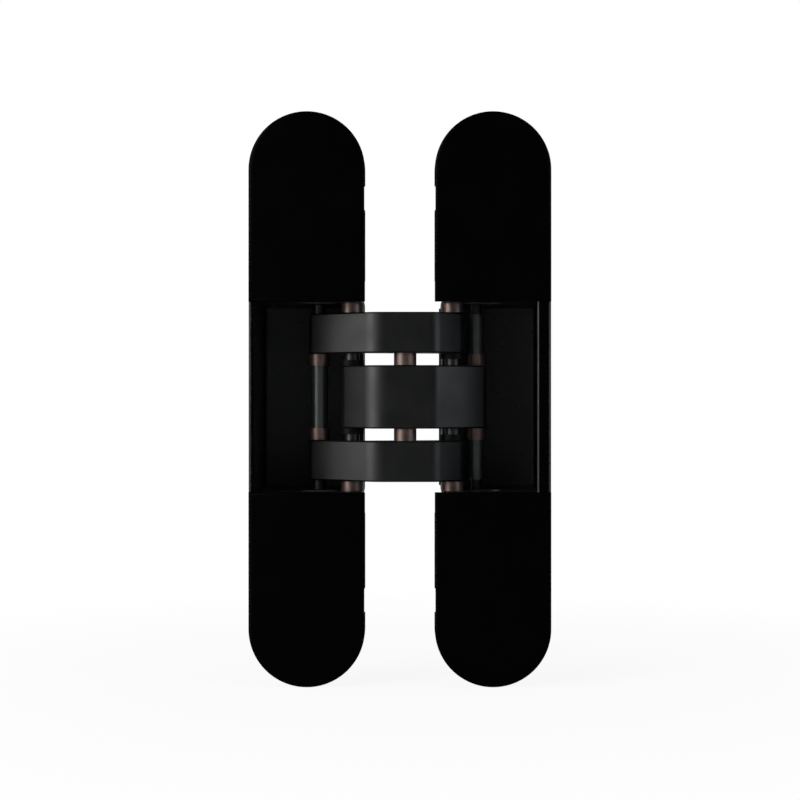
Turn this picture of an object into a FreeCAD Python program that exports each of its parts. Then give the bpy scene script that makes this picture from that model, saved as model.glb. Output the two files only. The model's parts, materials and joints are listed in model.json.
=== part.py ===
import FreeCAD, Part
import math
import os

import Sketcher
from FreeCAD import Placement, Rotation, Vector

# Concealed door hinge, lying as it is mounted: the frame leaf on the left, the door leaf on the
# right, both fronts in one plane as when the door stands open by 180 degrees.
# X runs across the leaves, Y runs into the leaves from their fronts, Z is up.
# The origin is the middle of the frame leaf's screws, on the face of its fixing plates that bears
# on the jamb. A place across a leaf is measured from the edge that faces the other leaf, a depth
# from the front plane of the leaves.

SIZES = [
    ("leaf_width", 24.0),
    ("leaf_height", 118.7),
    ("open_gap", 14.4),
    ("closed_reach", 35.5),
    ("body_depth", 29.5),
    ("opening_shift", 0.475),
    ("end_gap", 2.025),
    ("cap_depth", 4.2),
    ("cap_wall", 1.2),
    ("cap_edge_chamfer", 0.3),
    ("notch_length", 5.3),
    ("notch_depth", 0.2),
    ("notch_distance", 17.7),
    ("fit_clearance", 0.15),
    ("housing_outer_inset", 0.4),
    ("frame_inner_inset", 0.6),
    ("door_inner_inset", 1.84),
    ("door_flange", 0.34),
    ("flange_depth", 0.8),
    ("outer_wall", 0.65),
    ("inner_wall", 1.5),
    ("inner_wall_front", 12.4),
    ("back_wall", 1.6),
    ("pocket_round", 1.1),
    ("rim_setback", 0.3),
    ("roof_thickness", 4.3),
    ("housing_corner_radius", 4.0),
    ("groove_depth", 2.4),
    ("lug_width", 15.0),
    ("lug_length", 9.5),
    ("lug_depth", 9.0),
    ("lug_corner_radius", 3.0),
    ("plate_thickness", 2.6),
    ("screw_hole", 5.0),
    ("countersink", 9.4),
    ("inner_screw_distance", 17.675),
    ("outer_screw_distance", 8.5),
    ("clamp_screw", 4.0),
    ("clamp_head", 7.6),
    ("clamp_length", 10.0),
    ("clamp_offset", 5.0),
    ("clamp_socket", 2.5),
    ("clamp_socket_depth", 1.0),
    ("pivot_depth", 14.5),
    ("frame_pivot_inset", 10.1),
    ("door_pivot_inset", 9.0),
    ("centre_depth", 5.5),
    ("centre_shift", 1.1),
    ("frame_slide_inset", 2.9),
    ("frame_slide_depth", 9.5),
    ("door_slide_inset", 3.9),
    ("door_slide_depth", 8.5),
    ("middle_arm_height", 13.2),
    ("outer_arm_height", 8.5),
    ("arm_gap", 2.55),
    ("arm_skin", 1.3),
    ("facet_half_width", 6.35),
    ("frame_facet_round", 7.0),
    ("door_facet_round", 3.4),
    ("arm_end_round", 1.8),
    ("arm_edge_chamfer", 0.3),
    ("pivot_knuckle", 4.2),
    ("centre_knuckle", 6.6),
    ("slide_knuckle", 4.6),
    ("pivot_pin", 3.0),
    ("centre_pin", 3.4),
    ("slide_pin", 3.2),
    ("pin_seat", 3.2),
    ("pin_recess", 0.3),
    ("pivot_bush", 4.6),
    ("centre_bush", 4.7),
    ("guide_bush", 4.6),
    ("spacer", 3.7),
    ("washer", 5.0),
    ("washer_thickness", 1.2),
    ("running_clearance", 0.05),
    ("press_clearance", 0.01),
    ("groove_clearance", 0.12),
    ("pass_clearance", 0.4),
]

COUNTERSINK_ANGLE = 90

doc = FreeCAD.newDocument("hinge")
sheet = doc.addObject("Spreadsheet::Sheet", "Sizes")
PARTS = []


def fill_sheet():
    """Write the driving dimensions, one row each, with the name as the alias."""
    for row, (alias, value) in enumerate(SIZES, start=1):
        sheet.set(f"A{row}", alias)
        sheet.set(f"B{row}", str(value))
        sheet.setAlias(f"B{row}", alias)
    doc.recompute()


def named(text):
    """Turn a formula of the sheet's names into an expression that other objects can use."""
    words = sorted((alias for alias, _ in SIZES), key=len, reverse=True)
    out = []
    index = 0
    while index < len(text):
        for word in words:
            end = index + len(word)
            if text.startswith(word, index) and not text[end:end + 1].isidentifier():
                out.append("Sizes." + word)
                index = end
                break
        else:
            out.append(text[index])
            index += 1
    return "".join(out)


def number(text):
    """Work out a formula of the sheet's names as a plain number."""
    return float(sheet.evalExpression(named(text)))


fill_sheet()

OPENING_HALF = "middle_arm_height / 2 + arm_gap + outer_arm_height + end_gap"
HOUSING_FRONT = "cap_wall + fit_clearance"
PLATE_BACK = f"{HOUSING_FRONT} + plate_thickness"
CLAMP_HOLE = "clamp_screw + fit_clearance * 2"
OUTER_ARM_LOW = "middle_arm_height / 2 + arm_gap"
OUTER_ARM_HIGH = f"{OUTER_ARM_LOW} + outer_arm_height"


def across(leaf, inset):
    """Place in X of a point that lies this far in from the leaf's inner edge."""
    if leaf == "frame":
        return f"leaf_width / 2 - ({inset})"
    return f"leaf_width / 2 + open_gap + ({inset})"


def inward(depth):
    """Place in Y of a point that lies this far behind the leaves' fronts."""
    return f"({depth}) - ({PLATE_BACK})"


def point(place):
    return Vector(number(place[0]), number(place[1]), 0)


FRAME_PIVOT_PLACE = (across("frame", "frame_pivot_inset"), inward("pivot_depth"))
DOOR_PIVOT_PLACE = (across("door", "door_pivot_inset"), inward("pivot_depth"))
CENTRE_PLACE = ("leaf_width / 2 + open_gap / 2 + centre_shift", inward("centre_depth"))
FRAME_SLIDE_PLACE = (across("frame", "frame_slide_inset"), inward("frame_slide_depth"))
DOOR_SLIDE_PLACE = (across("door", "door_slide_inset"), inward("door_slide_depth"))

FRAME_PIVOT = point(FRAME_PIVOT_PLACE)
DOOR_PIVOT = point(DOOR_PIVOT_PLACE)
CENTRE = point(CENTRE_PLACE)
FRAME_SLIDE = point(FRAME_SLIDE_PLACE)
DOOR_SLIDE = point(DOOR_SLIDE_PLACE)


def turned(offset, angle):
    """The offset turned about Z by an angle in radians."""
    return Vector(
        offset.x * math.cos(angle) - offset.y * math.sin(angle),
        offset.x * math.sin(angle) + offset.y * math.cos(angle),
        0,
    )


def heading(offset):
    return math.atan2(offset.y, offset.x)


def fold_angles():
    """Turns at the frame pivot, the centre pin and the door pivot from open to closed.

    Closed, the door leaf faces the frame leaf across the closed gap, so the door pivot has come
    to a known place, and the centre pin lies where the two pivots' circles cross.
    """
    closed_place = (across("frame", "door_pivot_inset"), inward("pivot_depth - closed_reach"))
    closed_door_pivot = point(closed_place)
    frame_radius = (CENTRE - FRAME_PIVOT).Length
    door_radius = (CENTRE - DOOR_PIVOT).Length
    between = closed_door_pivot - FRAME_PIVOT
    distance = between.Length
    along = (distance ** 2 + frame_radius ** 2 - door_radius ** 2) / (2 * distance)
    aside = math.sqrt(frame_radius ** 2 - along ** 2)
    unit = between * (1 / distance)
    outward = Vector(unit.y, -unit.x, 0)
    if outward.x > 0:
        outward = outward * -1
    closed_centre = FRAME_PIVOT + unit * along + outward * aside
    arm_turn = heading(closed_centre - FRAME_PIVOT) - heading(CENTRE - FRAME_PIVOT)
    arm_turn = (arm_turn + math.pi) % (2 * math.pi) - math.pi
    middle_turn = heading(closed_door_pivot - closed_centre) - heading(DOOR_PIVOT - CENTRE)
    middle_turn = (middle_turn + math.pi) % (2 * math.pi) - math.pi
    return arm_turn, middle_turn - arm_turn, -math.pi - middle_turn


FRAME_TURN, CENTRE_TURN, DOOR_TURN = fold_angles()


def frame_slide_path(share):
    """Where the middle arm's slide pin lies in the frame leaf after this share of the fold."""
    centre = FRAME_PIVOT + turned(CENTRE - FRAME_PIVOT, share * FRAME_TURN)
    return centre + turned(FRAME_SLIDE - CENTRE, share * (FRAME_TURN + CENTRE_TURN))


def door_slide_path(share):
    """Where the outer arms' slide pin lies in the door leaf after this share of the fold."""
    centre = DOOR_PIVOT + turned(CENTRE - DOOR_PIVOT, -share * DOOR_TURN)
    return centre + turned(DOOR_SLIDE - CENTRE, -share * (DOOR_TURN + CENTRE_TURN))


def bind(obj, name, text):
    obj.setExpression(name, named(text))


def keep(obj, label):
    """Note a finished sub-part under its own name."""
    obj.Label = label
    PARTS.append(obj)
    return obj


def box(name, x, y, z):
    """A block between two limits each way, with its limits in Y given as depths."""
    block = doc.addObject("Part::Box", name)
    y = tuple(inward(depth) for depth in y)
    for side, axis, (low, high) in (("Length", "x", x), ("Width", "y", y), ("Height", "z", z)):
        bind(block, side, f"abs(({high}) - ({low}))")
        bind(block, f"Placement.Base.{axis}", f"min({low}; {high})")
    return block


def cylinder(name, diameter, x, y, z):
    """An upright cylinder between two heights."""
    low, high = z
    round_bar = doc.addObject("Part::Cylinder", name)
    bind(round_bar, "Radius", f"({diameter}) / 2")
    bind(round_bar, "Height", f"({high}) - ({low})")
    bind(round_bar, "Placement.Base.x", x)
    bind(round_bar, "Placement.Base.y", y)
    bind(round_bar, "Placement.Base.z", low)
    return round_bar


def cut(name, base, tools):
    result = doc.addObject("Part::Cut", name)
    result.Base = base
    result.Tool = tools[0] if len(tools) == 1 else fuse(name + "_tools", tools)
    return result


def fuse(name, shapes):
    result = doc.addObject("Part::MultiFuse", name)
    result.Shapes = shapes
    return result


def round_edges(name, base, radius, wanted):
    """Round every edge of the base that the test picks."""
    doc.recompute()
    result = doc.addObject("Part::Fillet", name)
    result.Base = base
    result.Edges = [
        (index, radius, radius)
        for index, edge in enumerate(base.Shape.Edges, start=1)
        if wanted(edge)
    ]
    return result


def origin_plane(body, role):
    return next(item for item in body.Origin.OriginFeatures if item.Role == role)


def new_sketch(body, name, role, height="0"):
    """A sketch on one of the body's own planes, lifted to a height that is a formula."""
    sketch = body.newObject("Sketcher::SketchObject", name)
    sketch.AttachmentSupport = (origin_plane(body, role), [""])
    sketch.MapMode = "FlatFace"
    bind(sketch, "AttachmentOffset.Base.z", height)
    return sketch


def add_circle(sketch, diameter, x, y):
    """A circle whose place and diameter are formulas."""
    centre = Vector(number(x), number(y), 0)
    index = sketch.addGeometry(Part.Circle(centre, Vector(0, 0, 1), number(diameter) / 2))
    for kind, text, value in (("DistanceX", x, centre.x), ("DistanceY", y, centre.y)):
        constraint = sketch.addConstraint(Sketcher.Constraint(kind, -1, 1, index, 3, value))
        bind(sketch, f"Constraints[{constraint}]", text)
    constraint = sketch.addConstraint(Sketcher.Constraint("Diameter", index, number(diameter)))
    bind(sketch, f"Constraints[{constraint}]", diameter)


def add_rectangle(sketch, x, y):
    """A rectangle between two limits each way, every limit a formula."""
    left, right = sorted(x, key=number)
    low, high = sorted(y, key=number)
    corners = [(left, low), (right, low), (right, high), (left, high)]
    for index, start in enumerate(corners):
        end = corners[(index + 1) % 4]
        line = Part.LineSegment(point(start), point(end))
        sketch.addGeometry(line)
    for index in range(4):
        sketch.addConstraint(Sketcher.Constraint("Coincident", index, 2, (index + 1) % 4, 1))
    for index, kind in enumerate(("Horizontal", "Vertical", "Horizontal", "Vertical")):
        sketch.addConstraint(Sketcher.Constraint(kind, index))
    for kind, line, text in (("DistanceX", 0, left), ("DistanceY", 0, low),
                             ("DistanceX", 2, right), ("DistanceY", 2, high)):
        constraint = Sketcher.Constraint(kind, -1, 1, line, 1, number(text))
        bind(sketch, f"Constraints[{sketch.addConstraint(constraint)}]", text)


def pad(body, sketch, name, length, reverse=False):
    feature = body.newObject("PartDesign::Pad", name)
    feature.Profile = sketch
    bind(feature, "Length", length)
    feature.Reversed = reverse
    return feature


def pocket(body, sketch, name, length, reverse=False):
    feature = body.newObject("PartDesign::Pocket", name)
    feature.Profile = sketch
    bind(feature, "Length", length)
    feature.Reversed = reverse
    return feature


def softened(corners):
    """Lines through the corners, each with the corner's round between them."""
    count = len(corners)
    joints = []
    for index, (corner, radius) in enumerate(corners):
        before = (corners[index - 1][0] - corner).normalize()
        after = (corners[(index + 1) % count][0] - corner).normalize()
        half_angle = before.getAngle(after) / 2
        length = radius / math.tan(half_angle)
        bisector = (before + after).normalize()
        reach = radius / math.sin(half_angle)
        joints.append((corner + before * length, corner + bisector * (reach - radius),
                       corner + after * length, radius))
    curves = []
    for index, (start, middle, end, radius) in enumerate(joints):
        if radius > 0:
            curves.append(Part.Arc(start, middle, end))
        curves.append(Part.LineSegment(end, joints[(index + 1) % count][0]))
    return curves


def meeting(start, direction, other_start, other_direction):
    """Where two lines cross."""
    across_both = direction.x * other_direction.y - direction.y * other_direction.x
    between = other_start - start
    share = (between.x * other_direction.y - between.y * other_direction.x) / across_both
    return start + direction * share


def front_flat(corner, target, room, side):
    """Run and outward normal of a flat that falls back from a corner, this far off a target."""
    to_target = target - corner
    lean = math.asin(room / to_target.Length)
    run = turned(to_target, -side * lean).normalize()
    return run, Vector(run.y * side, -run.x * side, 0)


def arm_outline(pivot, slide, passing_pin, side):
    """Plan outline of an arm's blade between its knuckles.

    A flat facet crosses the centre pin. From it the front falls back in a flat on either side:
    one is tangent to the slide knuckle, the other leads to the pivot just far enough out that
    the other arm's slide pin passes behind the arm's skin.
    """
    knuckle = number("centre_knuckle") / 2
    half_width = number("facet_half_width")
    pin_room = number("slide_pin") / 2 + number("pass_clearance")
    skin = number("arm_skin")
    rounds = {-1: number("frame_facet_round"), 1: number("door_facet_round")}
    near_corner = CENTRE + Vector(side * half_width, -knuckle, 0)
    far_corner = CENTRE + Vector(-side * half_width, -knuckle, 0)
    run, outward = front_flat(near_corner, passing_pin, pin_room + skin, side)
    end_side = pivot + Vector(side * number("pivot_knuckle") / 2, 0, 0)
    end_corner = meeting(near_corner, run, end_side, Vector(0, 1, 0))
    inner = passing_pin + outward * pin_room
    inner_end = meeting(inner, run, pivot, Vector(0, 1, 0))
    reach = (passing_pin - CENTRE).Length - pin_room
    offset = inner - CENTRE
    back_along = offset.dot(run)
    web_corner = inner - run * (back_along - math.sqrt(
        back_along ** 2 - offset.dot(offset) + reach ** 2))
    slide_radius = number("slide_knuckle") / 2
    _, far_outward = front_flat(far_corner, slide, slide_radius, -side)
    along = (slide - CENTRE).normalize()
    behind = Vector(along.y, -along.x, 0) * side
    return softened([
        (far_corner, rounds[-side]),
        (near_corner, rounds[side]),
        (end_corner, number("arm_end_round")),
        (end_side, 0),
        (pivot, 0),
        (inner_end, 0),
        (web_corner, 0),
        (CENTRE + Vector(0, knuckle, 0), 0),
        (slide + behind * slide_radius, 0),
        (slide + far_outward * slide_radius, 0),
    ])


def on_front(edge):
    """True for an arm's level edges along its facet and the two flats beside it."""
    limits = edge.BoundBox
    if limits.ZLength > 0.01 or edge.Length < 1:
        return False
    middle = edge.valueAt((edge.FirstParameter + edge.LastParameter) / 2)
    return middle.y < CENTRE.y - number("centre_bush") / 2 or (
        edge.Curve.TypeId == "Part::GeomLine" and limits.YMin < CENTRE.y
    )


def make_arm(label, places, outline, bores, low, height):
    """An arm: a bent blade with three knuckles, bored for its pins."""
    body = doc.addObject("PartDesign::Body", label)
    sketch = new_sketch(body, label + "_blade_outline", "XY_Plane", low)
    sketch.addGeometry(outline)
    pad(body, sketch, label + "_blade", height)
    for knuckle, (x, y) in zip(("pivot_knuckle", "centre_knuckle", "slide_knuckle"), places):
        sketch = new_sketch(body, f"{label}_{knuckle}_outline", "XY_Plane", low)
        add_circle(sketch, knuckle, x, y)
        pad(body, sketch, f"{label}_{knuckle}", height)
    sketch = new_sketch(body, label + "_bore_outline", "XY_Plane", low)
    for bore, (x, y) in zip(bores, places):
        add_circle(sketch, bore, x, y)
    bored = pocket(body, sketch, label + "_bores", height, reverse=True)
    doc.recompute()
    chamfer = body.newObject("PartDesign::Chamfer", label + "_edge_chamfer")
    chamfer.Base = (bored, [
        f"Edge{index}" for index, edge in enumerate(bored.Shape.Edges, start=1) if on_front(edge)
    ])
    bind(chamfer, "Size", "arm_edge_chamfer")
    return keep(body, label)


def make_ring(label, outer, inner, place, z):
    """A bush, spacer or washer: a plain ring on a pin."""
    x, y = place
    body = doc.addObject("PartDesign::Body", label)
    sketch = new_sketch(body, label + "_outline", "XY_Plane", z[0])
    add_circle(sketch, outer, x, y)
    add_circle(sketch, inner, x, y)
    pad(body, sketch, label + "_ring", f"({z[1]}) - ({z[0]})")
    return keep(body, label)


def make_pin(label, diameter, place, z):
    x, y = place
    return keep(cylinder(label, diameter, x, y, z), label)


def raised(offset):
    """Height above the middle of the opening."""
    return f"opening_shift + ({offset})"


def mirrored_rows(low, high):
    """The same stretch of height above and below the middle of the opening."""
    return {
        "upper": (raised(low), raised(high)),
        "lower": (raised(f"-({high})"), raised(f"-({low})")),
    }


def make_arms():
    """Upper and lower arm turn on the frame pivot, the middle arm on the door pivot."""
    outline = arm_outline(FRAME_PIVOT, DOOR_SLIDE, FRAME_SLIDE, -1)
    places = (FRAME_PIVOT_PLACE, CENTRE_PLACE, DOOR_SLIDE_PLACE)
    bores = (
        "pivot_pin + running_clearance * 2",
        "centre_pin + press_clearance * 2",
        "slide_pin + press_clearance * 2",
    )
    for row, (low, _) in mirrored_rows(OUTER_ARM_LOW, OUTER_ARM_HIGH).items():
        make_arm(f"{row}_arm", places, outline, bores, low, "outer_arm_height")
    outline = arm_outline(DOOR_PIVOT, FRAME_SLIDE, DOOR_SLIDE, 1)
    places = (DOOR_PIVOT_PLACE, CENTRE_PLACE, FRAME_SLIDE_PLACE)
    bores = (
        "pivot_pin + running_clearance * 2",
        "centre_pin + running_clearance * 2",
        "slide_pin + press_clearance * 2",
    )
    low = raised("-middle_arm_height / 2")
    make_arm("middle_arm", places, outline, bores, low, "middle_arm_height")


def make_centre():
    """The centre pin with a bush in each gap between the arms."""
    high = f"{OUTER_ARM_HIGH} - pin_recess"
    make_pin("centre_pin", "centre_pin", CENTRE_PLACE, (raised(f"-({high})"), raised(high)))
    rows = mirrored_rows("middle_arm_height / 2 + running_clearance", OUTER_ARM_LOW)
    for row, z in rows.items():
        bore = "centre_pin + press_clearance * 2"
        make_ring(f"{row}_centre_bush", "centre_bush", bore, CENTRE_PLACE, z)


def make_pivots():
    """Each leaf's pivot pin, seated in roof and floor, with its bushes and spacers."""
    end = f"{OPENING_HALF} + pin_seat - fit_clearance"
    free_bore = "pivot_pin + running_clearance * 2"
    tight_bore = "pivot_pin + press_clearance * 2"
    for leaf, place in (("frame", FRAME_PIVOT_PLACE), ("door", DOOR_PIVOT_PLACE)):
        z = (raised(f"-({end})"), raised(end))
        make_pin(f"{leaf}_pivot_pin", "pivot_pin", place, z)
    rows = mirrored_rows("middle_arm_height / 2 + running_clearance", OUTER_ARM_LOW)
    for row, z in rows.items():
        make_ring(f"frame_{row}_pivot_bush", "pivot_bush", free_bore, FRAME_PIVOT_PLACE, z)
    rows = mirrored_rows("middle_arm_height / 2", f"{OUTER_ARM_LOW} - running_clearance")
    for row, z in rows.items():
        make_ring(f"door_{row}_pivot_bush", "pivot_bush", free_bore, DOOR_PIVOT_PLACE, z)
    z = (raised("-middle_arm_height / 2"), raised("middle_arm_height / 2"))
    make_ring("frame_spacer", "spacer", tight_bore, FRAME_PIVOT_PLACE, z)
    for row, z in mirrored_rows(OUTER_ARM_LOW, OUTER_ARM_HIGH).items():
        make_ring(f"door_{row}_spacer", "spacer", tight_bore, DOOR_PIVOT_PLACE, z)


def make_slides():
    """Each arm's slide pin, with guide bushes at its ends and washers beside its arm."""
    end = f"{OPENING_HALF} + groove_depth - fit_clearance * 2"
    bore = "slide_pin + press_clearance * 2"
    guide_rows = mirrored_rows(f"{OUTER_ARM_HIGH} + fit_clearance", end)
    washer_rows = {
        "middle": mirrored_rows("middle_arm_height / 2",
                                "middle_arm_height / 2 + washer_thickness"),
        "outer": mirrored_rows(f"{OUTER_ARM_LOW} - washer_thickness", OUTER_ARM_LOW),
    }
    for arm, place in (("middle", FRAME_SLIDE_PLACE), ("outer", DOOR_SLIDE_PLACE)):
        make_pin(f"{arm}_slide_pin", "slide_pin", place, (raised(f"-({end})"), raised(end)))
        for row, z in guide_rows.items():
            make_ring(f"{arm}_{row}_guide_bush", "guide_bush", bore, place, z)
        for row, z in washer_rows[arm].items():
            make_ring(f"{arm}_{row}_washer", "washer", bore, place, z)


def groove_outline(path):
    """A slot of constant width along the arc through three places of a slide path."""
    start, middle, end = (path(share) for share in (0, 0.5, 1))
    arc = Part.Arc(start, middle, end).toShape().Curve
    hub = arc.Center
    half = number("guide_bush") / 2 + number("groove_clearance")

    def shifted(place, radius):
        return hub + (place - hub).normalize() * radius

    inner, outer = arc.Radius - half, arc.Radius + half
    travel = (end - start).normalize() * half
    return [
        Part.Arc(shifted(start, outer), shifted(middle, outer), shifted(end, outer)),
        Part.Arc(shifted(end, outer), end + travel, shifted(end, inner)),
        Part.Arc(shifted(end, inner), shifted(middle, inner), shifted(start, inner)),
        Part.Arc(shifted(start, inner), start - travel, shifted(start, outer)),
    ]


def make_groove(name, outline, z):
    """The curved groove that a slide pin's guide bush runs in."""
    low, high = (number(text) for text in z)
    wire = Part.Wire([curve.toShape() for curve in outline])
    groove = doc.addObject("Part::Feature", name)
    groove.Shape = Part.Face(wire).extrude(Vector(0, 0, high - low))
    groove.Placement = Placement(Vector(0, 0, low), Rotation())
    return groove


def upright_at_back(edge):
    """True for a straight edge along Z in the back half of a housing."""
    if not isinstance(edge.Curve, Part.Line) or abs(edge.Curve.Direction.z) < 0.99:
        return False
    return edge.BoundBox.YMin > number(inward("body_depth / 2"))


def level_depthwise(edge):
    """True for a straight edge that runs along Y."""
    return isinstance(edge.Curve, Part.Line) and abs(edge.Curve.Direction.y) > 0.99


def plate_span(end):
    """Heights of a fixing plate, from beside the opening to inside the cap's round end."""
    beside = f"{OPENING_HALF} + roof_thickness + fit_clearance"
    if end == "upper":
        return raised(beside), "leaf_height / 2 - cap_wall - fit_clearance"
    return "-leaf_height / 2 + cap_wall + fit_clearance", raised(f"-({beside})")


def clamp_height(end):
    """Height of the clamp screw, a set way in from the plate's inner end."""
    low, high = plate_span(end)
    return f"{low} + clamp_offset" if end == "upper" else f"{high} - clamp_offset"


def clamp_place(leaf, end):
    return across(leaf, "leaf_width / 2"), clamp_height(end)


def depth_cylinder(name, diameter, x, z, depths):
    """A cylinder that lies along Y between two depths."""
    low, high = (inward(depth) for depth in depths)
    bar = doc.addObject("Part::Cylinder", name)
    bar.Placement = Placement(Vector(), Rotation(Vector(1, 0, 0), -90))
    bind(bar, "Radius", f"({diameter}) / 2")
    bind(bar, "Height", f"({high}) - ({low})")
    bind(bar, "Placement.Base.x", x)
    bind(bar, "Placement.Base.y", low)
    bind(bar, "Placement.Base.z", z)
    return bar


def make_housing(leaf, pivot_place, path):
    """The cast pocket that holds the arms, with a lug at each end for the clamp screws."""
    label = f"{leaf}_housing"
    inner_inset = f"{leaf}_inner_inset"
    inner_face = across(leaf, inner_inset)
    outer_face = across(leaf, "leaf_width - housing_outer_inset")
    roof = raised(f"{OPENING_HALF} + roof_thickness")
    floor = raised(f"-({OPENING_HALF}) - roof_thickness")
    block = box(label + "_block", (inner_face, outer_face), (HOUSING_FRONT, "body_depth"),
                (floor, roof))
    rounded = round_edges(label + "_rounded", block, number("housing_corner_radius"),
                          level_depthwise)
    opening = (raised(f"-({OPENING_HALF})"), raised(OPENING_HALF))
    rim_span = (
        raised(f"-({OPENING_HALF}) + fit_clearance"),
        raised(f"{OPENING_HALF} - fit_clearance"),
    )
    wall_inside = across(leaf, "leaf_width - housing_outer_inset - outer_wall")
    rim = box(label + "_rim", (wall_inside, outer_face), ("rim_setback", f"{HOUSING_FRONT} + 1"),
              rim_span)
    lugs = []
    for end, (low, high) in (("upper", plate_span("upper")), ("lower", plate_span("lower"))):
        if end == "upper":
            span = (f"{roof} - roof_thickness / 2", f"{low} + lug_length")
        else:
            span = (f"{high} - lug_length", f"{floor} + roof_thickness / 2")
        sides = tuple(across(leaf, f"(leaf_width {sign} lug_width) / 2") for sign in "-+")
        lug = box(f"{label}_{end}_lug", sides, (PLATE_BACK, f"{PLATE_BACK} + lug_depth"), span)
        lugs.append(round_edges(f"{label}_{end}_lug_rounded", lug, number("lug_corner_radius"),
                                level_depthwise))
    shapes = [rounded, rim] + lugs
    if leaf == "door":
        shapes.append(box(label + "_flange",
                          (across(leaf, f"{inner_inset} - door_flange"),
                           across(leaf, f"{inner_inset} + inner_wall")),
                          ("body_depth - flange_depth", "body_depth"), opening))
    solid = fuse(label + "_solid", shapes)
    block = box(
        label + "_cavity_block",
        (across(leaf, f"{inner_inset} + inner_wall"), wall_inside),
        ("0", "body_depth - back_wall"),
        opening,
    )
    cavity = round_edges(label + "_cavity", block, number("pocket_round"), upright_at_back)
    window = box(
        label + "_window",
        (across(leaf, "0"), across(leaf, f"{inner_inset} + inner_wall * 2")),
        ("0", "inner_wall_front"),
        opening,
    )
    tools = [cavity, window]
    x, y = pivot_place
    seat = f"{OPENING_HALF} + pin_seat"
    tools.append(cylinder(label + "_pin_bore", "pivot_pin + press_clearance * 2", x, y,
                          (raised(f"-({seat})"), raised(seat))))
    groove_end = f"{OPENING_HALF} + groove_depth"
    tools.append(make_groove(label + "_groove", groove_outline(path),
                             (raised(f"-({groove_end})"), raised(groove_end))))
    bore = "clamp_screw + press_clearance * 2"
    for end in ("upper", "lower"):
        tools.append(depth_cylinder(f"{label}_{end}_thread", bore, *clamp_place(leaf, end),
                                    (PLATE_BACK, f"{PLATE_BACK} + lug_depth")))
    return keep(cut(label, solid, tools), label)


def leaf_end_sketch(body, name, leaf, end, inset, straight_inset, depth):
    """Outline of a leaf's end at a depth: straight sides and a full round end."""
    sign = 1 if end == "upper" else -1
    half = number("leaf_width") / 2 - inset
    middle = number(across(leaf, "leaf_width / 2"))
    tip = sign * (number("leaf_height") / 2 - inset)
    base = number(opening_border(end)) + sign * straight_inset
    shoulder = tip - sign * half
    left, right = middle - half, middle + half
    sketch = new_sketch(body, name, "XZ_Plane", f"-({inward(depth)})")
    sketch.addGeometry([
        Part.LineSegment(Vector(left, base, 0), Vector(right, base, 0)),
        Part.LineSegment(Vector(right, base, 0), Vector(right, shoulder, 0)),
        Part.Arc(Vector(right, shoulder, 0), Vector(middle, tip, 0), Vector(left, shoulder, 0)),
        Part.LineSegment(Vector(left, shoulder, 0), Vector(left, base, 0)),
    ])
    return sketch


def make_cap(leaf, end):
    """A clip-on cover: a shallow shell with a round end and a softened front edge."""
    label = f"{leaf}_{end}_cap"
    wall = number("cap_wall")
    body = doc.addObject("PartDesign::Body", label)
    sketch = leaf_end_sketch(body, label + "_outline", leaf, end, 0, 0, "0")
    shell = pad(body, sketch, label + "_shell", "cap_depth", reverse=True)
    doc.recompute()
    chamfer = body.newObject("PartDesign::Chamfer", label + "_front_chamfer")
    front_plane = number(inward("0"))
    chamfer.Base = (shell, [
        f"Edge{index}" for index, edge in enumerate(shell.Shape.Edges, start=1)
        if edge.BoundBox.YMax < front_plane + 0.01
    ])
    bind(chamfer, "Size", "cap_edge_chamfer")
    sketch = leaf_end_sketch(body, label + "_hollow_outline", leaf, end, wall, wall, "cap_wall")
    pocket(body, sketch, label + "_hollow", "cap_depth")
    sketch = new_sketch(body, label + "_relief_outline", "XZ_Plane", f"-({inward('cap_wall')})")
    low, high = opening_border(end), plate_span(end)[0 if end == "upper" else 1]
    add_rectangle(sketch, (across(leaf, "-1"), across(leaf, "leaf_width + 1")), (low, high))
    pocket(body, sketch, label + "_relief", "cap_depth")
    sketch = new_sketch(body, label + "_notch_outline", "XZ_Plane", f"-({inward('0')})")
    sign = "+1" if end == "upper" else "-1"
    high = f"({sign}) * (leaf_height / 2 - notch_distance + notch_length / 2)"
    low = f"({sign}) * (leaf_height / 2 - notch_distance - notch_length / 2)"
    add_rectangle(sketch, (across(leaf, "-1"), across(leaf, "notch_depth")), (low, high))
    pocket(body, sketch, label + "_notch", "cap_depth")
    return keep(body, label)


def opening_border(end):
    """Height of the cap's edge that borders the opening."""
    return raised(OPENING_HALF) if end == "upper" else raised(f"-({OPENING_HALF})")


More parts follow.
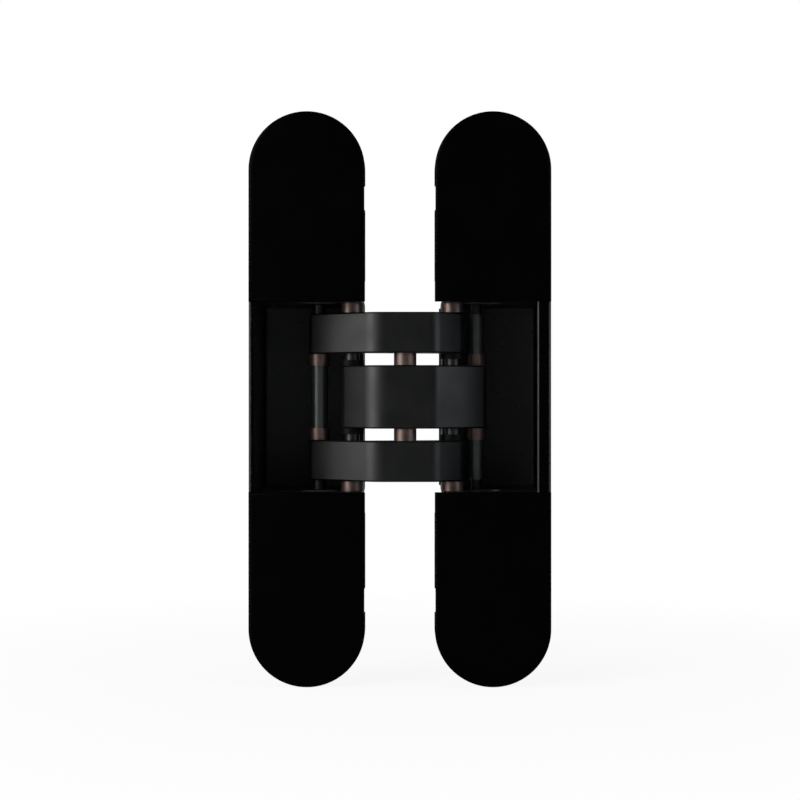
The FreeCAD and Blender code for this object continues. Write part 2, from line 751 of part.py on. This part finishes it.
def make_plate(leaf, end):
    """A fixing plate under the cap, countersunk for two wood screws and its clamp screw."""
    label = f"{leaf}_{end}_plate"
    inset = number("cap_wall + fit_clearance")
    straight = number("roof_thickness + fit_clearance")
    front = f"-({inward(HOUSING_FRONT)})"
    body = doc.addObject("PartDesign::Body", label)
    sketch = leaf_end_sketch(body, label + "_outline", leaf, end, inset, straight, HOUSING_FRONT)
    pad(body, sketch, label + "_slab", "plate_thickness", reverse=True)
    outward = "+1" if end == "upper" else "-1"
    wood_screw_heights = (
        raised(f"({outward}) * ({OPENING_HALF} + inner_screw_distance)"),
        f"({outward}) * (leaf_height / 2 - outer_screw_distance)",
    )
    holes = (
        ("screw", "screw_hole", "countersink", wood_screw_heights),
        ("clamp", CLAMP_HOLE, "clamp_head", (clamp_height(end),)),
    )
    for name, bore, head, heights in holes:
        sketch = new_sketch(body, f"{label}_{name}_outline", "XZ_Plane", front)
        for height in heights:
            add_circle(sketch, bore, across(leaf, "leaf_width / 2"), height)
        doc.recompute()
        hole = body.newObject("PartDesign::Hole", f"{label}_{name}_holes")
        hole.Profile = sketch
        hole.DepthType = "ThroughAll"
        hole.HoleCutType = "Countersink"
        hole.HoleCutCountersinkAngle = COUNTERSINK_ANGLE
        bind(hole, "Diameter", bore)
        bind(hole, "HoleCutDiameter", head)
    return keep(body, label)


def make_clamp_screws(leaf):
    """Two countersunk socket screws that clamp a housing to its fixing plates."""
    label = f"{leaf}_clamp_screws"
    screws = []
    head_height = "(clamp_head - clamp_screw) / 2"
    for end in ("upper", "lower"):
        x, z = clamp_place(leaf, end)
        name = f"{label}_{end}"
        lying = Placement(Vector(), Rotation(Vector(1, 0, 0), -90))
        head = doc.addObject("Part::Cone", name + "_head")
        head.Placement = lying
        bind(head, "Radius1", "clamp_head / 2")
        bind(head, "Radius2", "clamp_screw / 2")
        bind(head, "Height", head_height)
        socket = doc.addObject("Part::Prism", name + "_socket")
        socket.Polygon = 6
        socket.Placement = lying
        bind(socket, "Circumradius", "clamp_socket / sqrt(3)")
        bind(socket, "Height", "clamp_socket_depth")
        for piece in (head, socket):
            bind(piece, "Placement.Base.x", x)
            bind(piece, "Placement.Base.y", inward(HOUSING_FRONT))
            bind(piece, "Placement.Base.z", z)
        shank = depth_cylinder(name + "_shank", "clamp_screw", x, z,
                               (f"{HOUSING_FRONT} + {head_height}",
                                f"{HOUSING_FRONT} + clamp_length"))
        screws.append(cut(name, fuse(name + "_blank", [head, shank]), [socket]))
    group = doc.addObject("Part::Compound", label)
    group.Links = screws
    return keep(group, label)


def make_all():
    make_arms()
    make_centre()
    make_pivots()
    make_slides()
    make_housing("frame", FRAME_PIVOT_PLACE, frame_slide_path)
    make_housing("door", DOOR_PIVOT_PLACE, door_slide_path)
    for leaf in ("frame", "door"):
        for end in ("upper", "lower"):
            make_cap(leaf, end)
            make_plate(leaf, end)
        make_clamp_screws(leaf)


def check_document():
    """Stop at any failed object or empty shape, before a file is written."""
    doc.recompute()
    for obj in doc.Objects:
        if "Invalid" in obj.State or "Error" in obj.State:
            raise RuntimeError(f"{obj.Label} did not build: {obj.State}")
    for obj in PARTS:
        if obj.Shape.isNull() or not obj.Shape.isValid():
            raise RuntimeError(f"{obj.Label} has no valid shape")


def write_parts():
    os.makedirs("parts", exist_ok=True)
    for obj in PARTS:
        obj.Shape.exportStep(f"parts/{obj.Label}.step")


make_all()
check_document()
write_parts()
for turn_name, turn in (("frame", FRAME_TURN), ("centre", CENTRE_TURN), ("door", DOOR_TURN)):
    print(turn_name, "turn", round(math.degrees(turn), 4))
for part in PARTS:
    print(part.Label, len(part.Shape.Solids), round(part.Shape.Volume, 2))
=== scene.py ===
import json
import math

import bmesh
import bpy
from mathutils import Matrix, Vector


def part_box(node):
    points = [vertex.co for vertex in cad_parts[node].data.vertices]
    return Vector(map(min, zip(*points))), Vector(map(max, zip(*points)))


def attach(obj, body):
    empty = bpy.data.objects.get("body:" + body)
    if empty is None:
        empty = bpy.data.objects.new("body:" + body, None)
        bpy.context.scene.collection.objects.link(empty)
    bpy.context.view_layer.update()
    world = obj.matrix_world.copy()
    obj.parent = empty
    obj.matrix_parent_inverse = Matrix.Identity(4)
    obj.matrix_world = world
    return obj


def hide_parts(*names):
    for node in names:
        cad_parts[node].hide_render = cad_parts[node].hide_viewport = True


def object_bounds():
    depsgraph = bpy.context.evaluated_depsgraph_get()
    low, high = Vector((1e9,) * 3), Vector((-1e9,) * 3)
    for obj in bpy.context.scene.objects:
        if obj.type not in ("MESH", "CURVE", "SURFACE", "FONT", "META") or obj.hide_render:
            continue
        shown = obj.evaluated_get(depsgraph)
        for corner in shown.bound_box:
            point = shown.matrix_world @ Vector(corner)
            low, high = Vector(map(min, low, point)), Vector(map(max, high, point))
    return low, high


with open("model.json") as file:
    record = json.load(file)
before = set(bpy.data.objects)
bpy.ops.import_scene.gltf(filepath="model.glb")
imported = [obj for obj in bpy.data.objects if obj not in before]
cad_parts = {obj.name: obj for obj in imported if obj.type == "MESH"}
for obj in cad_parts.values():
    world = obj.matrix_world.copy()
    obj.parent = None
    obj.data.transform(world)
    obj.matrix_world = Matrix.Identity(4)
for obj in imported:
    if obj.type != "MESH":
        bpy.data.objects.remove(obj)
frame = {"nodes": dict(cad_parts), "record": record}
CAD_BOX = [list(corner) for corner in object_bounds()]
NODES = frame["nodes"]
MM = 0.001
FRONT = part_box("frame_upper_cap")[0].y
MIDDLE = (CAD_BOX[0][0] + CAD_BOX[1][0]) / 2
COVER_WALL = 1.2 * MM
COVER_ROUND_DEPTH = 0.45 * MM
COVER_ROUND_WIDTH = 0.9 * MM
COVER_ROUND_STEPS = 6
NOTCH_LENGTH = 5.3 * MM
NOTCH_DEPTH = 0.2 * MM
NOTCH_DISTANCE = 17.7 * MM
SPARE = 1 * MM
NEAR = 0.01 * MM
CAMERA_DISTANCE = 340 * MM
SEEN_WIDTH = 164.6 * MM
LIP_THICKNESS = 0.6 * MM
DOOR_WALL_INSIDE = 2.9 * MM
DOOR_WALL_OUTSIDE = 1.0 * MM
DOOR_WALL_SETBACK = 0.32 * MM
DOOR_WALL_EDGE = 0.42 * MM
DOOR_WALL_ROUND = 0.378 * MM
RIM_SETBACK = 0.27 * MM
RIM_INSET = 0.04 * MM
RIM_WIDTH = 0.52 * MM
RIM_ROUND = 0.2 * MM
RIM_TOP_SETBACK = 0.25 * MM
RIM_TOP_WIDTH = 1.12 * MM


# Materials

def new_group(name, inputs, outputs):
    """A shader node group with its sockets."""
    group = bpy.data.node_groups.new(name, "ShaderNodeTree")
    for label, kind, value in inputs:
        socket = group.interface.new_socket(label, in_out="INPUT", socket_type=kind)
        socket.default_value = value
    for label, kind in outputs:
        group.interface.new_socket(label, in_out="OUTPUT", socket_type=kind)
    return group


def fine_grain_group():
    """Fine cast or moulded grain: a height for bump and a slow mottling between 0 and 1."""
    group = new_group(
        "fine_grain",
        [("Grain Size", "NodeSocketFloat", 3000.0), ("Mottle Size", "NodeSocketFloat", 180.0)],
        [("Height", "NodeSocketFloat"), ("Mottle", "NodeSocketFloat")],
    )
    nodes, links = group.nodes, group.links
    source = nodes.new("NodeGroupInput")
    target = nodes.new("NodeGroupOutput")
    place = nodes.new("ShaderNodeTexCoord")
    grain = nodes.new("ShaderNodeTexNoise")
    grain.inputs["Detail"].default_value = 3.0
    grain.inputs["Roughness"].default_value = 0.65
    mottle = nodes.new("ShaderNodeTexNoise")
    mottle.inputs["Detail"].default_value = 2.0
    links.new(place.outputs["Object"], grain.inputs["Vector"])
    links.new(place.outputs["Object"], mottle.inputs["Vector"])
    links.new(source.outputs["Grain Size"], grain.inputs["Scale"])
    links.new(source.outputs["Mottle Size"], mottle.inputs["Scale"])
    links.new(grain.outputs["Fac"], target.inputs["Height"])
    links.new(mottle.outputs["Fac"], target.inputs["Mottle"])
    return group


FINE_GRAIN = fine_grain_group()
ROUGHNESS_SPREAD = 0.1


def finish_material(name, dark, pale, roughness, metallic, grain_size, mottle_size, bump, distance,
                    specular=0.5):
    """A material whose colour and roughness wander a little, with a fine grain in its surface."""
    material = bpy.data.materials.new(name)
    material.use_nodes = True
    nodes, links = material.node_tree.nodes, material.node_tree.links
    shader = nodes["Principled BSDF"]
    shader.inputs["Metallic"].default_value = metallic
    shader.inputs["Specular IOR Level"].default_value = specular
    grain = nodes.new("ShaderNodeGroup")
    grain.node_tree = FINE_GRAIN
    grain.inputs["Grain Size"].default_value = grain_size
    grain.inputs["Mottle Size"].default_value = mottle_size
    tint = nodes.new("ShaderNodeMixRGB")
    tint.inputs["Color1"].default_value = (*dark, 1)
    tint.inputs["Color2"].default_value = (*pale, 1)
    links.new(grain.outputs["Mottle"], tint.inputs["Fac"])
    links.new(tint.outputs["Color"], shader.inputs["Base Color"])
    spread = nodes.new("ShaderNodeMapRange")
    spread.inputs["From Min"].default_value = 0.3
    spread.inputs["From Max"].default_value = 0.7
    spread.inputs["To Min"].default_value = roughness - ROUGHNESS_SPREAD / 2
    spread.inputs["To Max"].default_value = roughness + ROUGHNESS_SPREAD / 2
    links.new(grain.outputs["Mottle"], spread.inputs["Value"])
    links.new(spread.outputs["Result"], shader.inputs["Roughness"])
    relief = nodes.new("ShaderNodeBump")
    relief.inputs["Strength"].default_value = bump
    relief.inputs["Distance"].default_value = distance
    links.new(grain.outputs["Height"], relief.inputs["Height"])
    links.new(relief.outputs["Normal"], shader.inputs["Normal"])
    return material


cap_black = finish_material(
    "cap_black", (0.0001, 0.0001, 0.0001), (0.0002, 0.0002, 0.0002), 0.44, 0.0, 5200, 140, 0.10,
    0.00002, specular=0.015)
housing_cast = finish_material(
    "housing_cast", (0.0010, 0.0013, 0.0009), (0.0024, 0.0031, 0.0021), 0.32, 0.0, 3300, 420, 0.7,
    0.00022, specular=0.36)
arm_satin = finish_material(
    "arm_satin", (0.0013, 0.0013, 0.0013), (0.0020, 0.0020, 0.0021), 0.40, 0.0, 5200, 200, 0.12,
    0.00002, specular=0.19)
bronze = finish_material(
    "bronze", (0.045, 0.029, 0.025), (0.092, 0.064, 0.056), 0.42, 0.85, 4200, 700, 0.25, 0.00004)
# painted light: a lighter copy of the bronze, for the pivot bushes that sit in shade
painted_light_bronze = finish_material(
    "painted_light_bronze", (0.075, 0.048, 0.041), (0.160, 0.108, 0.093), 0.40, 0.85, 4200, 700, 0.25,
    0.00004)
rim_edge = finish_material(
    "rim_edge", (0.0020, 0.0022, 0.0020), (0.0030, 0.0033, 0.0030), 0.44, 0.0, 3300, 420, 0.3,
    0.00003, specular=0.25)
steel_pin = finish_material(
    "steel_pin", (0.018, 0.017, 0.016), (0.028, 0.026, 0.024), 0.42, 0.9, 4200, 300, 0.08, 0.00002)
sleeve_steel = finish_material(
    "sleeve_steel", (0.046, 0.050, 0.046), (0.064, 0.069, 0.065), 0.36, 0.8, 3800, 500, 0.12, 0.00002)
washer_black = finish_material(
    "washer_black", (0.0008, 0.0008, 0.0008), (0.0012, 0.0012, 0.0012), 0.5, 0.0, 4200, 300, 0.1,
    0.00002, specular=0.05)
screw_black = finish_material(
    "screw_black", (0.012, 0.012, 0.012), (0.02, 0.02, 0.02), 0.4, 0.6, 4200, 300, 0.1, 0.00002)
plate_black = finish_material(
    "plate_black", (0.008, 0.008, 0.008), (0.014, 0.014, 0.014), 0.45, 0.3, 3600, 260, 0.15, 0.00003)

FINISHES = {
    "cap": cap_black,
    "housing": housing_cast,
    "arm": arm_satin,
    "bush": bronze,
    "pin": steel_pin,
    "spacer": sleeve_steel,
    "washer": washer_black,
    "screw": screw_black,
    "plate": plate_black,
}


def finish_nodes():
    """Give every CAD node the finish of its slot, with a lighter bronze on the leaves' pivot bushes
    as painted light for their shaded place deep in the pockets.
    """
    for row in frame["record"]["subparts"]:
        node = NODES[row["node"]]
        node.data.materials.clear()
        node.data.materials.append(FINISHES[row["material_slot"]])
    # painted light: the shaded pivot bushes get the lighter bronze copy
    for name in NODES:
        if name.endswith("_pivot_bush"):
            NODES[name].data.materials[0] = painted_light_bronze


finish_nodes()


# Cover caps

def select_in_edit_mode(piece, kind, wanted):
    """Select just the vertices or faces that the test picks."""
    bpy.ops.mesh.select_mode(type=kind)
    bpy.ops.mesh.select_all(action="DESELECT")
    shape = bmesh.from_edit_mesh(piece.data)
    for item in shape.verts if kind == "VERT" else shape.faces:
        item.select = wanted(item)
    shape.select_flush_mode()
    bmesh.update_edit_mesh(piece.data)


def round_ended_slab(name, limits, sign, front, back):
    """An upright slab with one full round end, left open in edit mode.

    The limits are left, right, border and tip; the sign is +1 with the round end on top.
    """
    left, right, border, tip = limits
    radius = (right - left) / 2
    shoulder = tip - sign * radius
    bpy.ops.object.select_all(action="DESELECT")
    bpy.ops.mesh.primitive_circle_add(
        vertices=128, radius=radius, fill_type="NGON", location=((left + right) / 2, front, shoulder),
        rotation=(math.radians(90), 0, 0))
    slab = bpy.context.object
    slab.name = name
    bpy.ops.object.transform_apply(location=True, rotation=True, scale=True)
    bpy.ops.object.mode_set(mode="EDIT")
    bpy.ops.mesh.select_all(action="SELECT")
    bpy.ops.mesh.bisect(plane_co=(0, 0, shoulder), plane_no=(0, 0, sign), clear_inner=True)
    select_in_edit_mode(slab, "VERT", lambda corner: abs(corner.co.z - shoulder) < NEAR)
    bpy.ops.mesh.extrude_region_move(
        TRANSFORM_OT_translate={"value": (0, 0, border - shoulder)})
    bpy.ops.mesh.select_all(action="SELECT")
    bpy.ops.mesh.dissolve_faces()
    bpy.ops.mesh.select_all(action="SELECT")
    bpy.ops.mesh.extrude_region_move(TRANSFORM_OT_translate={"value": (0, back - front, 0)})
    bpy.ops.mesh.select_all(action="SELECT")
    bpy.ops.mesh.normals_make_consistent(inside=False)
    return slab


def block(name, low, high):
    """A plain block between two corners."""
    bpy.ops.object.select_all(action="DESELECT")
    middle = [(a + b) / 2 for a, b in zip(low, high)]
    bpy.ops.mesh.primitive_cube_add(size=1, location=middle)
    piece = bpy.context.object
    piece.name = name
    piece.scale = [abs(b - a) for a, b in zip(low, high)]
    bpy.ops.object.transform_apply(location=True, rotation=True, scale=True)
    return piece


def cut_away(piece, tool):
    """Take the tool's shape out of the piece and remove the tool."""
    bpy.ops.object.select_all(action="DESELECT")
    bpy.context.view_layer.objects.active = piece
    piece.select_set(True)
    bpy.ops.object.modifier_add(type="BOOLEAN")
    modifier = piece.modifiers[-1]
    modifier.operation = "DIFFERENCE"
    modifier.solver = "EXACT"
    modifier.object = tool
    bpy.ops.object.modifier_apply(modifier=modifier.name)
    bpy.data.objects.remove(tool)


def round_cover(leaf, end):
    """A cover cap with the soft, wide round that runs along its front edge."""
    low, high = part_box(f"{leaf}_{end}_cap")
    plate_low, plate_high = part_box(f"{leaf}_{end}_plate")
    sign = 1 if end == "upper" else -1
    border, tip = (low.z, high.z) if end == "upper" else (high.z, low.z)
    plate_edge = plate_low.z if end == "upper" else plate_high.z
    cover = round_ended_slab(f"{leaf}_{end}_cover", (low.x, high.x, border, tip), sign,
                             FRONT + COVER_ROUND_DEPTH, high.y)
    select_in_edit_mode(cover, "FACE", lambda face: face.normal.y < -0.9)
    width_before, height_before = 0.0, 0.0
    for step in range(1, COVER_ROUND_STEPS + 1):
        angle = math.radians(90) * step / COVER_ROUND_STEPS
        width = COVER_ROUND_WIDTH * (1 - math.cos(angle))
        height = COVER_ROUND_DEPTH * math.sin(angle)
        bpy.ops.mesh.inset(thickness=width - width_before, depth=height - height_before)
        width_before, height_before = width, height
    bpy.ops.object.mode_set(mode="OBJECT")
    hollow = round_ended_slab(
        "hollow", (low.x + COVER_WALL, high.x - COVER_WALL, border + sign * COVER_WALL,
                   tip - sign * COVER_WALL), sign, FRONT + COVER_WALL, high.y + SPARE)
    bpy.ops.object.mode_set(mode="OBJECT")
    cut_away(cover, hollow)
    cut_away(cover, block("relief", (low.x - SPARE, FRONT + COVER_WALL, border - sign * SPARE),
                          (high.x + SPARE, high.y + SPARE, plate_edge)))
    notch_side = high.x if leaf == "frame" else low.x
    notch_middle = tip - sign * NOTCH_DISTANCE
    cut_away(cover, block("notch", (notch_side - NOTCH_DEPTH, FRONT - SPARE,
                                    notch_middle - NOTCH_LENGTH / 2),
                          (notch_side + NOTCH_DEPTH, high.y + SPARE,
                           notch_middle + NOTCH_LENGTH / 2)))
    bpy.ops.object.shade_smooth_by_angle(angle=math.radians(30))
    for face in cover.data.polygons:
        if face.normal.y < -0.9999:
            face.use_smooth = False
    cover.data.materials.clear()
    cover.data.materials.append(cap_black)
    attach(cover, f"{leaf}_leaf")
    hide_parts(f"{leaf}_{end}_cap")


for leaf in ("frame", "door"):
    for end in ("upper", "lower"):
        round_cover(leaf, end)


# Rims of the housings

def rounded_block(name, low, high, wanted, radius, segments):
    """A block with the edges rounded that lie between the vertices the test picks."""
    piece = block(name, low, high)
    bpy.ops.object.mode_set(mode="EDIT")
    select_in_edit_mode(piece, "VERT", wanted)
    bpy.ops.mesh.bevel(offset=radius, segments=segments, affect="EDGES")
    bpy.ops.object.mode_set(mode="OBJECT")
    bpy.ops.object.shade_smooth_by_angle(angle=math.radians(30))
    return piece


def opening_ends(leaf):
    """The heights between which the two caps leave the pocket open."""
    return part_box(f"{leaf}_lower_cap")[1].z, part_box(f"{leaf}_upper_cap")[0].z


def join_housing(piece, leaf, material):
    """Give a piece its finish and let it ride with the leaf as part of the housing."""
    piece.data.materials.append(material)
    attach(piece, f"{leaf}_leaf")


def door_wall_lip():
    """The lip along the door housing's outer wall: a top painted black as shade, and a bright,
    rounded inner edge.
    """
    outer_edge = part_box("door_upper_cap")[1].x
    inside, outside = outer_edge - DOOR_WALL_INSIDE, outer_edge - DOOR_WALL_OUTSIDE
    top = FRONT + DOOR_WALL_SETBACK
    below = top + LIP_THICKNESS
    lower, upper = opening_ends("door")
    lip = block("door_wall_shade_top", (inside + DOOR_WALL_EDGE, top, lower), (outside, below, upper))
    edge = rounded_block(
        "door_wall_edge", (inside, top, lower), (inside + DOOR_WALL_EDGE, below, upper),
        lambda vertex: (vertex.co.x < inside + DOOR_WALL_EDGE / 2
                        and vertex.co.y < top + DOOR_WALL_EDGE / 2),
        DOOR_WALL_ROUND, 8)
    # painted shade: the lip's top is part of the housing but gets the near-black cap finish, so it
    # shows black
    join_housing(lip, "door", cap_black)
    join_housing(edge, "door", rim_edge)


def outer_rim(leaf):
    """The rim on the housing's outer wall: a strip that carries on the caps' outer edge, and a top
    inside it painted black as shade."""
    outline_low, outline_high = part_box(f"{leaf}_upper_cap")
    lower, upper = opening_ends(leaf)
    if leaf == "frame":
        left, right = outline_low.x + RIM_INSET, outline_low.x + RIM_WIDTH
        top_left, top_right = right, outline_low.x + RIM_TOP_WIDTH
    else:
        left, right = outline_high.x - RIM_WIDTH, outline_high.x - RIM_INSET
        top_left, top_right = outline_high.x - RIM_TOP_WIDTH, left
    front = FRONT + RIM_SETBACK
    black_front = FRONT + RIM_TOP_SETBACK
    rim = rounded_block(
        f"{leaf}_outer_rim", (left, front, lower), (right, outline_high.y, upper),
        lambda vertex: vertex.co.y < front + RIM_ROUND, RIM_ROUND, 4)
    rim_shade_top = block(f"{leaf}_rim_shade_top", (top_left, black_front, lower),
                    (top_right, black_front + LIP_THICKNESS, upper))
    join_housing(rim, leaf, housing_cast)
    # painted shade: the rim's top is part of the housing but gets the near-black cap finish, so it
    # shows black
    join_housing(rim_shade_top, leaf, cap_black)


door_wall_lip()
for leaf in ("frame", "door"):
    outer_rim(leaf)


# Studio

def add_camera():
    """Straight at the fronts, about a third of a metre away."""
    data = bpy.data.cameras.new("camera")
    data.sensor_width = 36
    data.lens = data.sensor_width * CAMERA_DISTANCE / SEEN_WIDTH
    data.shift_x = -0.00125
    data.shift_y = -0.004375
    data.clip_start = 0.01
    camera = bpy.data.objects.new("camera", data)
    bpy.context.scene.collection.objects.link(camera)
    camera.location = (19.43 * MM, FRONT - CAMERA_DISTANCE, 0.56 * MM)
    camera.rotation_euler = (math.radians(90), 0, 0)
    bpy.context.scene.camera = camera


def add_lamp(name, place, target, size_x, size_y, power, colour=(1, 1, 1)):
    """A soft box that faces a point of the object."""
    data = bpy.data.lights.new(name, "AREA")
    data.shape = "RECTANGLE"
    data.size = size_x
    data.size_y = size_y
    data.energy = power
    data.color = colour
    lamp = bpy.data.objects.new(name, data)
    bpy.context.scene.collection.objects.link(lamp)
    lamp.location = place
    direction = place[0] - target[0], place[1] - target[1], place[2] - target[2]
    lamp.rotation_euler = Vector(direction).to_track_quat("Z", "Y").to_euler()
    return lamp


def set_world():
    """Plain white behind, a little soft grey light all round."""
    world = bpy.data.worlds.new("studio")
    bpy.context.scene.world = world
    world.use_nodes = True
    nodes, links = world.node_tree.nodes, world.node_tree.links
    nodes.clear()
    output = nodes.new("ShaderNodeOutputWorld")
    light = nodes.new("ShaderNodeBackground")
    light.inputs["Color"].default_value = (0.92, 0.96, 1.0, 1)
    light.inputs["Strength"].default_value = 0.20
    behind = nodes.new("ShaderNodeBackground")
    behind.inputs["Color"].default_value = (1, 1, 1, 1)
    behind.inputs["Strength"].default_value = 1.0
    path = nodes.new("ShaderNodeLightPath")
    mix = nodes.new("ShaderNodeMixShader")
    links.new(path.outputs["Is Camera Ray"], mix.inputs[0])
    links.new(light.outputs[0], mix.inputs[1])
    links.new(behind.outputs[0], mix.inputs[2])
    links.new(mix.outputs[0], output.inputs["Surface"])


def pale_paper():
    """Pale studio paper: white to the camera, with a breath of shadow near the hinge."""
    material = bpy.data.materials.new("pale_paper")
    material.use_nodes = True
    nodes, links = material.node_tree.nodes, material.node_tree.links
    nodes.clear()
    output = nodes.new("ShaderNodeOutputMaterial")
    paper = nodes.new("ShaderNodeBsdfDiffuse")
    paper.inputs["Color"].default_value = (0.7, 0.7, 0.7, 1)
    white = nodes.new("ShaderNodeEmission")
    white.inputs["Color"].default_value = (1, 1, 1, 1)
    white.inputs["Strength"].default_value = 1.0
    place = nodes.new("ShaderNodeTexCoord")
    from_hinge = nodes.new("ShaderNodeVectorMath")
    from_hinge.operation = "DISTANCE"
    from_hinge.inputs[1].default_value = (MIDDLE, 10 * MM, CAD_BOX[0][2])
    fade = nodes.new("ShaderNodeMapRange")
    fade.inputs["From Min"].default_value = 0.03
    fade.inputs["From Max"].default_value = 0.16
    fade.inputs["To Min"].default_value = 0.90
    fade.inputs["To Max"].default_value = 1.0
    path = nodes.new("ShaderNodeLightPath")
    share = nodes.new("ShaderNodeMath")
    share.operation = "MULTIPLY"
    mix = nodes.new("ShaderNodeMixShader")
    links.new(place.outputs["Object"], from_hinge.inputs[0])
    links.new(from_hinge.outputs["Value"], fade.inputs["Value"])
    links.new(path.outputs["Is Camera Ray"], share.inputs[0])
    links.new(fade.outputs["Result"], share.inputs[1])
    links.new(share.outputs[0], mix.inputs[0])
    links.new(paper.outputs[0], mix.inputs[1])
    links.new(white.outputs[0], mix.inputs[2])
    links.new(mix.outputs[0], output.inputs["Surface"])
    return material


def add_floor():
    """A wide flat floor right under the hinge."""
    bpy.ops.object.select_all(action="DESELECT")
    bpy.ops.mesh.primitive_plane_add(size=1, location=(0.02, 0.1, CAD_BOX[0][2]))
    floor = bpy.context.object
    floor.name = "floor"
    floor.scale = (3.0, 1.4, 1)
    bpy.ops.object.transform_apply(location=True, rotation=True, scale=True)
    floor.data.materials.append(pale_paper())


add_camera()
add_floor()
aim = (MIDDLE, 5 * MM, 0)
add_lamp("left_softbox", (-0.70, -0.26, 0.05), aim, 0.97, 1.0, 11.5)
add_lamp("left_key", (-0.57, -0.43, 0.05), aim, 0.30, 0.8, 7.0)
add_lamp("left_fill", (-0.33, -0.58, 0.05), aim, 0.14, 0.8, 0.5)
add_lamp("right_softbox", (0.70, -0.20, 0.05), aim, 0.90, 1.0, 5.5, (0.85, 0.92, 1.0))
add_lamp("right_key", (0.62, -0.40, 0.05), aim, 0.34, 0.8, 1.6, (0.82, 0.90, 1.0))
set_world()

bpy.context.scene.view_settings.view_transform = "Standard"
